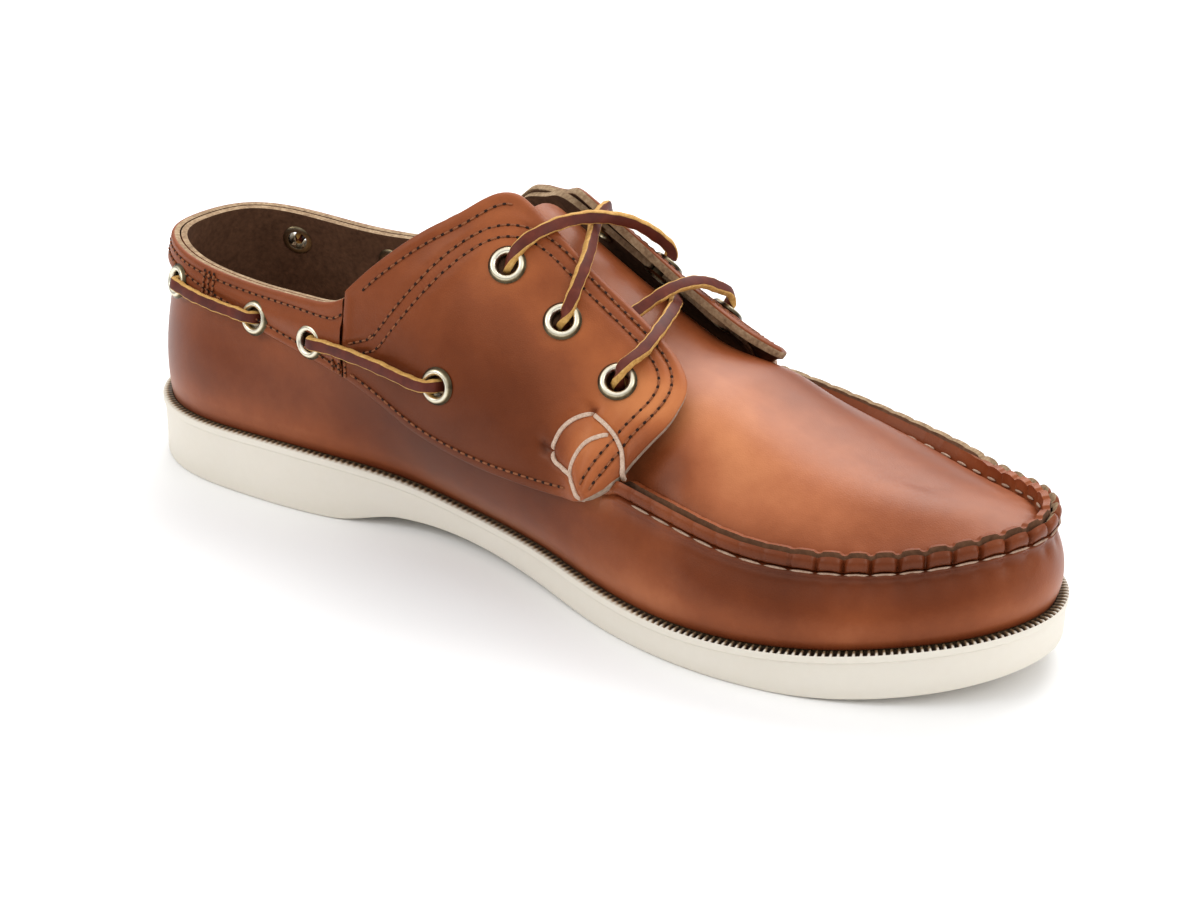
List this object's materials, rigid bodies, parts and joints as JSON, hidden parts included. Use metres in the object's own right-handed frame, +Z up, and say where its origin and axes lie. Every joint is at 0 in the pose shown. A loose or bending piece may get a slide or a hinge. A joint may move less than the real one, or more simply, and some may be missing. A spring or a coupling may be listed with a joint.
{
  "type": "boat shoe",
  "caption": "Left leather boat shoe with moccasin seam, rawhide side lacing through brass eyelets and a pale rubber sole, standing empty.",
  "frame": {"origin": "on the ground plane, below the middle of the shoe's length and width", "axes": "+X from the heel to the toe, +Y to the outer (lateral) side of this left shoe, +Z up from the ground"},
  "size_m": [0.298, 0.1023, 0.1028],
  "materials": {
    "vamp_leather": "oiled pull-up leather, soft sheen, worn",
    "saddle_leather": "oiled pull-up leather, soft sheen, raw edges",
    "patch_leather": "darker oiled leather with a pale raw edge",
    "sole_rubber": "matt off-white rubber, slightly soiled",
    "sock_leather": "smooth tan sock leather, matt",
    "eyelet_brass": "antique brass, bright on the inner ring",
    "rawhide": "dark red-brown waxed thong with pale raw edges"
  },
  "bodies": {
    "root": {"collar_band": "saddle_leather", "eyelet_front_lateral_1": "eyelet_brass", "eyelet_front_lateral_2": "eyelet_brass", "eyelet_front_lateral_3": "eyelet_brass", "eyelet_front_medial_1": "eyelet_brass", "eyelet_front_medial_2": "eyelet_brass", "eyelet_front_medial_3": "eyelet_brass", "eyelet_side_lateral_1": "eyelet_brass", "eyelet_side_lateral_2": "eyelet_brass", "eyelet_side_lateral_3": "eyelet_brass", "eyelet_side_lateral_4": "eyelet_brass", "eyelet_side_medial_1": "eyelet_brass", "eyelet_side_medial_2": "eyelet_brass", "eyelet_side_medial_3": "eyelet_brass", "eyelet_side_medial_4": "eyelet_brass", "heel_patch": "patch_leather", "insole": "sock_leather", "lace_cross_front": "rawhide", "lace_cross_top": "rawhide", "lace_side_lateral_back": "rawhide", "lace_side_lateral_front": "rawhide", "lace_side_medial_back": "rawhide", "lace_side_medial_front": "rawhide", "outsole": "sole_rubber", "plug_tongue": "vamp_leather", "saddle_lateral": "saddle_leather", "saddle_medial": "saddle_leather", "upper": "vamp_leather"}
  },
  "joints": []
}
